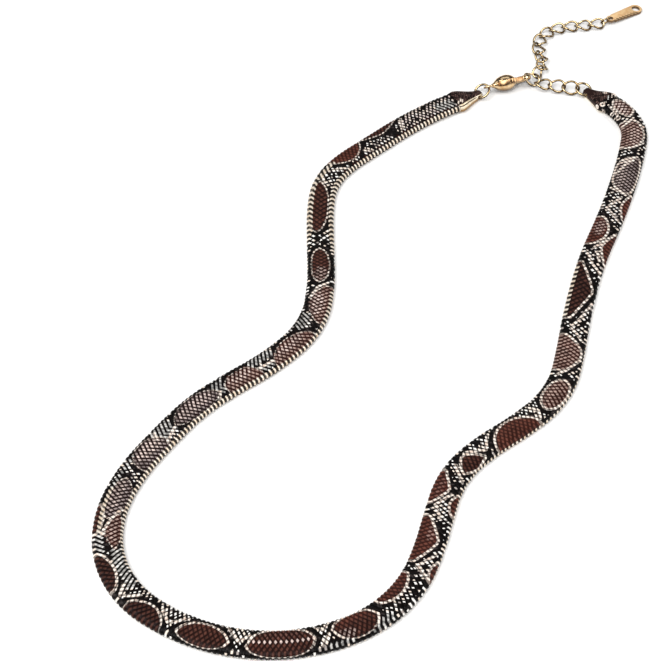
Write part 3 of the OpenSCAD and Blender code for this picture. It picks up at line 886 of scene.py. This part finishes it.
# Band, which rises a little at both ends to meet the middle of the caps' mouths
STRAP_W, STRAP_T, MOUTH_T = 6.0, 1.9, 2.5
RISE_LEN = 14
strap_s = from_ribs(np.arange(0, RIBS + STEP_S / 2, STEP_S))
ones = np.ones(len(strap_s))
strap_lifts = (MOUTH_T - STRAP_T) / 2 * ease(1 - np.minimum(strap_s, STRAP_LEN - strap_s) / RISE_LEN)
strap = sweep("printed_band", strap_s, STRAP_W * ones, STRAP_T * ones, strap_lifts, rib_relief,
              print_material("snake_print", True))
finish_piece(strap, "snake_strap")

# End caps, each the band's section drawn in from its lip to a blunt nose with a cross hole
CAP_LEN, CAP_GAP = 7.4, 0.05
LIP_W, CAP_W, NOSE_W = 6.06, 6.7, 2.3
LIP_T, CAP_T, NOSE_T = 2.0, 2.45, 1.8
NOSE_START = 0.88
NOSE_HOLE_R = 0.6
NOSE_HOLE_AT = CAP_LEN - 1.25
cap_print = print_material("cap_print", False)


def cap_s(left, distance):
    return -CAP_GAP - distance if left else STRAP_LEN + CAP_GAP + distance


def cap_profile(u):
    """A cap's widths, thicknesses and lifts by the share of its length."""
    end = np.sqrt(np.maximum(0, 1 - np.maximum(0, (u - NOSE_START) / (1 - NOSE_START)) ** 2))
    grown = ease(u / 0.16)
    taper = np.clip((u - 0.06) / 0.78, 0, 1)
    width = LIP_W + (CAP_W - LIP_W) * grown + (NOSE_W - CAP_W) * (0.6 * taper + 0.4 * ease(taper))
    thick = LIP_T + (CAP_T - LIP_T) * grown + (NOSE_T - CAP_T) * ease((u - 0.2) / 0.6)
    thick = thick * (0.45 + 0.55 * end)
    lift = np.where(u > NOSE_START, (NOSE_T - thick) / 2, 0.25 * (1 - grown))
    return width * (0.35 + 0.65 * end), thick, lift


def wall_groove(s, t):
    if s > -0.4 or s < -5.6:
        return 0 * t
    return 0.12 * np.exp(-((t + print_reach(s, -1) + 0.5) / 0.1) ** 2)


def nose_hole(left):
    """The middle of the hole in a cap's nose, and the band's direction there."""
    spot, turn = on_line([cap_s(left, NOSE_HOLE_AT)])
    return Vector((*spot[0], NOSE_T / 2)), float(turn[0])


def end_cap(name, node, left):
    grid = np.r_[np.arange(0, CAP_LEN, STEP_S), CAP_LEN]
    u = np.unique(np.r_[grid / CAP_LEN, 0.9, 0.93, 0.95, 0.97, 0.985, 0.995])
    columns = [cap_s(left, u * CAP_LEN), *cap_profile(u)]
    if left:
        columns = [column[::-1] for column in columns]
    made = sweep(name, *columns, wall_groove, cap_print)
    spot, turn = nose_hole(left)
    tool = rod_tool(NOSE_HOLE_R, 4)
    put(tool, place(spot, 90, 0, turn))
    cut(made, tool)
    sharpen(made, 50)
    finish_piece(made, node)


end_cap("cap_left", "end_cap_left", True)
end_cap("cap_right", "end_cap_right", False)

# Jump rings
JUMP_RING, JUMP_WIRE = 4.1, 0.55


def heading(a, slope):
    """The direction at an angle on the table and a slope up from it, in degrees."""
    a, slope = math.radians(a), math.radians(slope)
    return Vector((math.cos(a) * math.cos(slope), math.sin(a) * math.cos(slope), math.sin(slope)))


def ring(name, outer, thick, start):
    """A jump ring with a hairline cut in it."""
    r = (outer - thick) / 2
    half_cut = math.degrees(0.02 / r)
    path = [(*spot, 0) for spot in arc(0, 0, r, start + half_cut, start + 360 - half_cut, 73)]
    points, faces = wire(path, thick / 2, 18, closed=False)
    made = make_object(name, points, faces, pale_gold)
    sharpen(made, 50)
    return made


def jump_ring(name, node, left, direction, lean):
    """A ring through a cap's nose that clears the nose's end and sides."""
    r = (JUMP_RING - JUMP_WIRE) / 2
    reach = r - (r - math.sqrt(r * r - (NOSE_W / 2) ** 2)) / 2
    made = ring(name, JUMP_RING, JUMP_WIRE, 70)
    spot = nose_hole(left)[0] + reach * heading(direction, lean)
    finish_piece(made, node, place(spot, 0, -lean, direction))


jump_ring("ring_left", "jump_ring_left", True, 28, 30)
jump_ring("ring_right", "jump_ring_right", False, 138, 14)

# Chain links
LINK_LEN, LINK_W, LINK_WIRE, LINK_TWIST = 4.4, 3.5, 0.52, 40.0
LINK_PITCH = LINK_LEN - 2 * LINK_WIRE - 0.08
link_l, link_w = (LINK_LEN - LINK_WIRE) / 2, (LINK_W - LINK_WIRE) / 2


def link(name, node, spot, direction, slope, roll):
    turns = np.radians(np.arange(0, 360, 6))
    twist = np.radians(LINK_TWIST) * np.cos(turns)
    across = link_w * np.sin(turns)
    path = np.c_[link_l * np.cos(turns), across * np.cos(twist), across * np.sin(twist)]
    points, faces = wire(path, LINK_WIRE / 2, 14, True, np.c_[0 * turns, -np.sin(twist), np.cos(twist)])
    made = make_object(name, points, faces, pale_gold)
    finish_piece(made, node, place(spot, roll, -slope, direction))


def walk(start, turns):
    """The middles of links that follow each other, with their directions, slopes and rolls."""
    spots = [Vector(start)]
    for a, b in zip(turns, turns[1:]):
        spots.append(spots[-1] + LINK_PITCH / 2 * (heading(a[0], a[1]) + heading(b[0], b[1])))
    return [(spot, *turn) for spot, turn in zip(spots, turns)]


bridge = walk((34.5, 63.0, 1.4), [(-13, 1, 0), (-13, 1, 20), (-13, 2, 40)])
hooked = (Vector((32.05, 64.6, 1.65)), 138, 9, -12)
tail = walk((33.75, 66.6, 1.8), [
    (58, -2, 60), (82, -6, 38), (98, -5, 22), (92, -3, 10), (69, -1, 3),
    (44, 0, 0), (22, 0, 0), (9, 0, 0), (5, 0, 0), (14, 0, 0)])
for k, row in enumerate([*bridge[::-1], hooked, *tail], 1):
    link(f"chain_link_{k:02d}", f"link_{k:02d}", *row)

# Clasp, along X from its tail eye to its hook, with the lever on the +Y side
CLASP_LEN, BULB_T, LEVER_T, PIN_D = 10.8, 3.8, 1.1, 0.8
EYE_R, EYE_WIRE, HOOK_R, HOOK_W, HOOK_T = 1.0, 0.5, 1.55, 0.42, 0.65
HOOK_X = CLASP_LEN - HOOK_R - HOOK_W
PIN_AT = (4.2, 0.45)
# Columns are the two places of a section's middle, half its width and half its thickness.
CLASP_ROWS = [
    [0.75, 0, 0.42, 0.42], [1.2, 0, 0.62, 0.58], [1.65, 0, 0.96, 0.9], [2.3, 0, 1.5, 1.38],
    [3.15, -0.02, 1.93, 1.72], [4.2, -0.08, 2.1, 1.9], [5, -0.2, 2.02, 1.85],
    [5.7, -0.46, 1.7, 1.6], [6.2, -0.8, 1.27, 1.28], [6.65, -1.12, 0.86, 1],
    [7.15, -1.39, 0.6, 0.8], [7.9, -1.53, 0.46, 0.7]]
CLASP_ROWS += [[*spot, HOOK_W, HOOK_T] for spot in arc(HOOK_X, 0, HOOK_R, -90, 105, 14)]
clasp_place = place((21.62, 60.9, 2.4), 0, 3, 22) @ Matrix.Rotation(math.radians(132), 4, "X")


def curve_through(rows, steps):
    rows = np.asarray(rows, float)
    padded = np.vstack([2 * rows[0] - rows[1], rows, 2 * rows[-1] - rows[-2]])
    filled = []
    for i in range(1, len(rows)):
        a, b, c, d = padded[i - 1:i + 3]
        for u in np.arange(steps) / steps:
            filled.append(0.5 * (2 * b + (c - a) * u + (2 * a - 5 * b + 4 * c - d) * u**2
                                 + (3 * b - a - 3 * c + d) * u**3))
    return np.array(filled + [rows[-1]])


def clasp_body():
    rows = curve_through(CLASP_ROWS, 4)
    last = rows[-1]
    tip = last[:2] - rows[-2][:2]
    tip /= np.linalg.norm(tip)
    tail_end = [[rows[0][0] - 0.1, rows[0][1], 0.22, 0.22]]
    hook_end = [[*(last[:2] + far * tip), HOOK_W * share, HOOK_T * share]
                for far, share in ((0.14, 0.93), (0.26, 0.74), (0.33, 0.42))]
    rows = np.vstack([tail_end, rows, hook_end])
    sides = 36
    points = []
    for i, (x, y, wide, thick) in enumerate(rows):
        before, after = rows[max(0, i - 1)], rows[min(len(rows) - 1, i + 1)]
        a = math.atan2(after[1] - before[1], after[0] - before[0])
        points += [(x + wide * c * math.sin(a), y - wide * c * math.cos(a), thick * d)
                   for c, d in around(sides)]
    made = make_object("clasp", points, tube_faces(len(rows), sides), gold)
    slot = (LEVER_T + 0.12) / 2
    cut(made, box_tool((PIN_AT[0] - 2.25, -0.55, -slot), (PIN_AT[0] + 3.3, 3.45, slot)))
    bevel(made, 0.05, 2)
    points, faces = wire([(*spot, 0) for spot in arc(0, 0, EYE_R, 0, 352.5, 48)], EYE_WIRE / 2, 16)
    eye = make_object("eye", points, faces, gold)
    work = bmesh.new()
    work.from_mesh(made.data)
    work.from_mesh(eye.data)
    work.to_mesh(made.data)
    work.free()
    bpy.data.objects.remove(eye)
    sharpen(made, 40)
    finish_piece(made, "clasp_body", clasp_place)


def extruded(name, outlines, thick, material, rounding):
    """A plate from its outline and holes, with rounded edges."""
    work = bmesh.new()
    edges = []
    for outline in outlines:
        verts = [work.verts.new((x * MM, y * MM, -thick / 2 * MM)) for x, y in outline]
        edges += [work.edges.new((verts[i - 1], verts[i])) for i in range(len(verts))]
    bmesh.ops.triangle_fill(work, use_beauty=True, use_dissolve=False, edges=edges)
    bmesh.ops.dissolve_limit(work, angle_limit=0.001, verts=work.verts, edges=work.edges)
    grown = bmesh.ops.extrude_face_region(work, geom=list(work.faces))
    for vert in grown["geom"]:
        if isinstance(vert, bmesh.types.BMVert):
            vert.co.z += thick * MM
    bmesh.ops.recalc_face_normals(work, faces=work.faces)
    mesh = bpy.data.meshes.new(name)
    work.to_mesh(mesh)
    work.free()
    mesh.materials.append(material)
    made = add_object(name, mesh)
    bevel(made, rounding, 3)
    sharpen(made, 40)
    return made


def clasp_lever():
    tip_x = HOOK_X + HOOK_R * math.cos(math.radians(105)) - 0.12
    tip_y = HOOK_R * math.sin(math.radians(105))
    x, y = PIN_AT
    outline = arc(x, y, 0.85, 215, 285, 9)
    outline += [(x + 1.6, y + 0.05), (tip_x, tip_y - 0.42), (tip_x - 0.03, tip_y + 0.30),
                (tip_x - 0.14, tip_y + 0.42)]
    outline += [(x + dx, y + dy) for dx, dy in (
        (2.35, 1.32), (2.05, 1.45), (1.95, 1.95), (1.8, 2.15), (1.0, 2.25), (0.75, 2.12),
        (0.45, 1.62), (-0.3, 1.5), (-0.9, 1.28), (-1.6, 0.85), (-2.1, 0.35), (-2.0, -0.2))]
    hole = arc(x, y, PIN_D / 2 + 0.05, 0, 345, 24)
    made = extruded("lever", [outline, hole], LEVER_T, shaded_lever_gold, 0.16)
    finish_piece(made, "clasp_lever", clasp_place, "lever")


def clasp_pin():
    half = (BULB_T - 0.35) / 2
    sides = 32
    profile = [(0.18, half - 0.02), (0.3, half - 0.06), (0.37, half - 0.13), (0.39, half - 0.25)]
    rings = profile + [(r, -z) for r, z in reversed(profile)]
    points = [(PIN_AT[0] + r * c, PIN_AT[1] + r * d, z) for r, z in rings for c, d in around(sides)]
    made = make_object("rivet", points, tube_faces(len(rings), sides), pale_gold)
    sharpen(made, 40)
    finish_piece(made, "clasp_pin", clasp_place)


clasp_body()
clasp_lever()
clasp_pin()

# Small ring between the last link and the tag, leaning over
SMALL_RING, SMALL_WIRE = 2.6, 0.4
SMALL_TURN, SMALL_LEAN = 25, 110
small_r = (SMALL_RING - SMALL_WIRE) / 2
last_spot, last_direction = tail[-1][:2]
small_spot = (last_spot.xy + (link_l - LINK_WIRE / 2 - SMALL_WIRE / 2 - 0.1) * heading(last_direction, 0).xy
              + small_r * heading(SMALL_TURN, 0).xy)
small = ring("tag_ring_wire", SMALL_RING, SMALL_WIRE, 200)
small_z = small_r * math.sin(math.radians(SMALL_LEAN)) + SMALL_WIRE / 2 + 0.02
finish_piece(small, "tag_ring", place((*small_spot, small_z), SMALL_LEAN, 0, SMALL_TURN))

# Drop tag, along X from its eye, tilted so that its far end rests on the table
TAG_LEN, TAG_T, TAG_END_W, TAG_EYE_R, TAG_EYE_HOLE, CHARM_HOLE = 10.6, 0.7, 3.1, 1.0, 1.3, 2.0
TAG_END_X = TAG_LEN - TAG_EYE_R - TAG_END_W / 2
TAG_TURN, TAG_TILT = 34, 5
TAG_GROOVES, GROOVE_STEP = 7, 0.9


def drop_tag():
    outline = arc(TAG_END_X, 0, TAG_END_W / 2, -92, 92, 33)
    outline += [(1.3, 1.15), (0.75, 1.08)]
    outline += arc(0, 0, TAG_EYE_R, 62, 298, 25)
    outline += [(0.75, -1.08), (1.3, -1.15)]
    eye = arc(0, 0, TAG_EYE_HOLE / 2, 0, 348.75, 32)
    charm = arc(TAG_END_X, 0, CHARM_HOLE / 2, 0, 352.5, 48)
    made = extruded("tag", [outline, eye, charm], TAG_T, tag_gold, 0.07)
    # The grooves' faces take the dark gold, painted shade in the grooves.
    made.data.materials.append(groove_shade_gold)
    grooves = []
    for k in range(TAG_GROOVES):
        groove = box_tool((-0.8, -0.14, -0.22), (0.8, 0.14, 1.0))
        groove.data.materials.append(groove_shade_gold)
        groove.data.polygons.foreach_set("material_index", [1] * len(groove.data.polygons))
        put(groove, place((1.7 + GROOVE_STEP * k, -1.3, TAG_T / 2), 0, 0, 140))
        grooves.append(groove)
    cut(made, *grooves)
    sharpen(made, 40)
    put(made, Matrix.Translation(Vector((0, 0, TAG_T / 2))))
    eye_spot = (small_spot + small_r * heading(SMALL_TURN, 0).xy
                + (TAG_EYE_HOLE / 2 - SMALL_WIRE / 2 - 0.15) * heading(TAG_TURN, 0).xy)
    z = (TAG_LEN - TAG_EYE_R) * math.sin(math.radians(TAG_TILT)) + 0.02
    finish_piece(made, "drop_tag", place((*eye_spot, z), 0, TAG_TILT, TAG_TURN))


drop_tag()

# Floor
floor_graph = Graph("floor")
floor_graph.set(Base_Color=tone(250, 249, 247), Roughness=0.55, Specular_IOR_Level=0.2)
FLOOR_REACH = 3000
floor_corners = [(x * FLOOR_REACH, y * FLOOR_REACH, -0.02) for x, y in ((-1, -1), (1, -1), (1, 1), (-1, 1))]
make_object("floor", floor_corners, [(0, 1, 2, 3)], floor_graph.material)

# Light
world = bpy.data.worlds.new("world")
scene.world = world
world.use_nodes = True
background = world.node_tree.nodes["Background"].inputs
background["Color"].default_value = (0.93, 0.95, 1, 1)
background["Strength"].default_value = 0.1


def soft_light(name, spot, width, height, power):
    light = bpy.data.lights.new(name, "AREA")
    assign(light, shape="RECTANGLE", size=width, size_y=height, energy=power)
    add_object(name, light, location=spot, rotation_mode="QUATERNION",
               rotation_quaternion=(aim - Vector(spot)).to_track_quat("-Z", "Y"))


soft_light("key", (-0.3, -0.4, 0.9), 0.9, 0.9, 13)
soft_light("fill", (0.8, -0.15, 0.6), 0.7, 0.7, 5)
soft_light("left", (-0.85, 0.15, 0.45), 0.6, 0.4, 2.5)
soft_light("rear", (0.08, 0.8, 0.86), 1, 0.45, 1.3)
scene.view_settings.view_transform = "Standard"
scene.view_settings.exposure = 0
